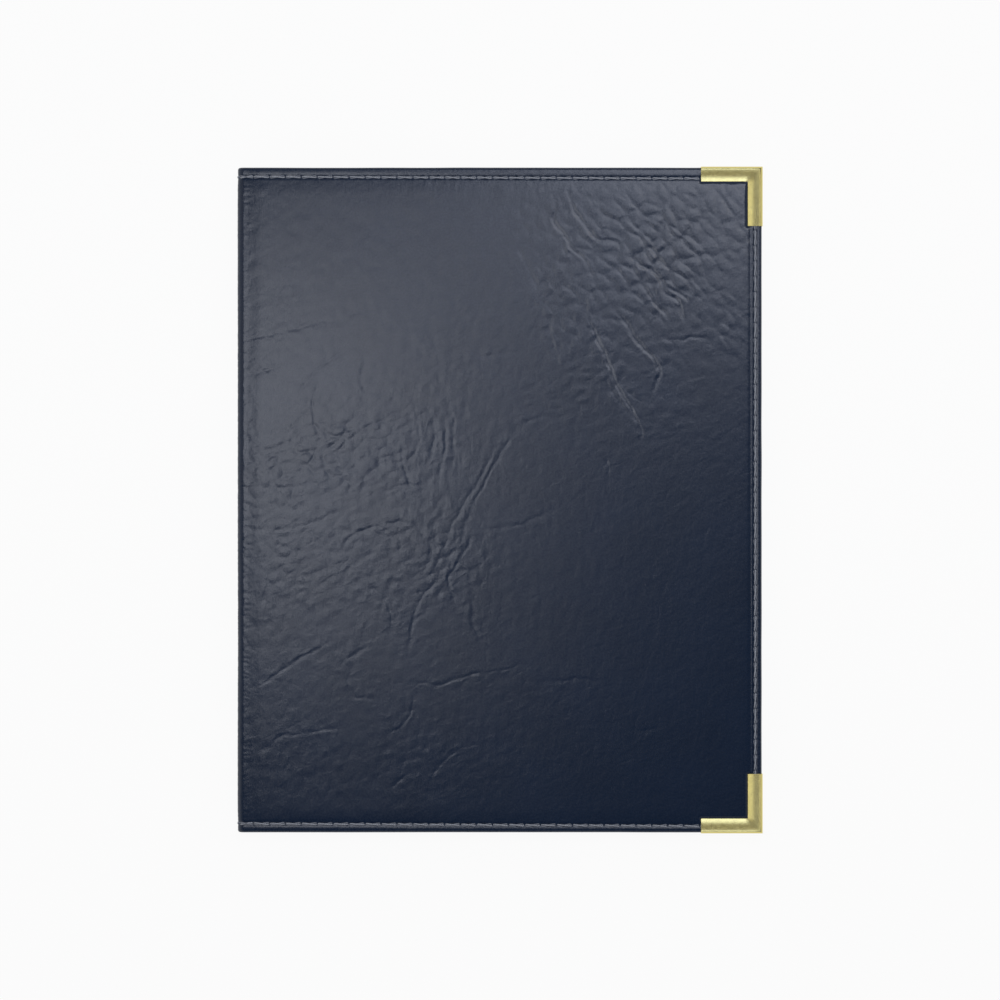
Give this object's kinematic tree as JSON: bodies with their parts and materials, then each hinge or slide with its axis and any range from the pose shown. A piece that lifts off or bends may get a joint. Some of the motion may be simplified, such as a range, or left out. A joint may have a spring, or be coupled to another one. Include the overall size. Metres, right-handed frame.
{
  "type": "menu cover",
  "caption": "Sewn, padded leatherette menu cover with brass corner guards, opening flat about a soft spine, with a clear pocket inside each panel.",
  "frame": {"origin": "middle of the underside of the closed cover lying on its back", "axes": "+X from the spine to the fore-edge, +Y from the foot to the head, +Z out of the front cover"},
  "size_m": [0.2382, 0.3024, 0.0099],
  "materials": {
    "navy_leatherette": "satin, embossed",
    "foam": "matte",
    "binders_board": "matte",
    "black_lining": "matte",
    "clear_film": "gloss",
    "black_tape": "satin",
    "polished_brass": "polished",
    "grey_thread": "satin"
  },
  "bodies": {
    "back_panel": {"back_leatherette": "navy_leatherette", "back_padding": "foam", "back_board": "binders_board", "back_lining": "black_lining", "back_pocket_film": "clear_film", "back_pocket_binding": "black_tape", "back_head_corner": "polished_brass", "back_foot_corner": "polished_brass", "back_needle_thread": "grey_thread", "back_bobbin_thread": "grey_thread", "back_crease_leatherette": "navy_leatherette", "back_crease_lining": "black_lining", "back_crease_thread": "grey_thread"},
    "spine": {"spine_leatherette": "navy_leatherette", "spine_lining": "black_lining", "spine_thread": "grey_thread"},
    "front_panel": {"front_leatherette": "navy_leatherette", "front_padding": "foam", "front_board": "binders_board", "front_lining": "black_lining", "front_pocket_film": "clear_film", "front_pocket_binding": "black_tape", "front_head_corner": "polished_brass", "front_foot_corner": "polished_brass", "front_needle_thread": "grey_thread", "front_bobbin_thread": "grey_thread", "front_crease_leatherette": "navy_leatherette", "front_crease_lining": "black_lining", "front_crease_thread": "grey_thread"}
  },
  "joints": [
    {"name": "spine_fold", "type": "hinge", "parent": "back_panel", "child": "spine", "pos_m": [-0.11831, 0, 0.00114], "axis": [0, -1, 0], "range_deg": [0, 90], "deforming": ["back_crease_leatherette", "back_crease_lining", "back_crease_thread"]},
    {"name": "front_fold", "type": "hinge", "parent": "spine", "child": "front_panel", "pos_m": [-0.11831, 0, 0.00876], "axis": [0, -1, 0], "range_deg": [0, 90], "deforming": ["front_crease_leatherette", "front_crease_lining", "front_crease_thread"]}
  ]
}
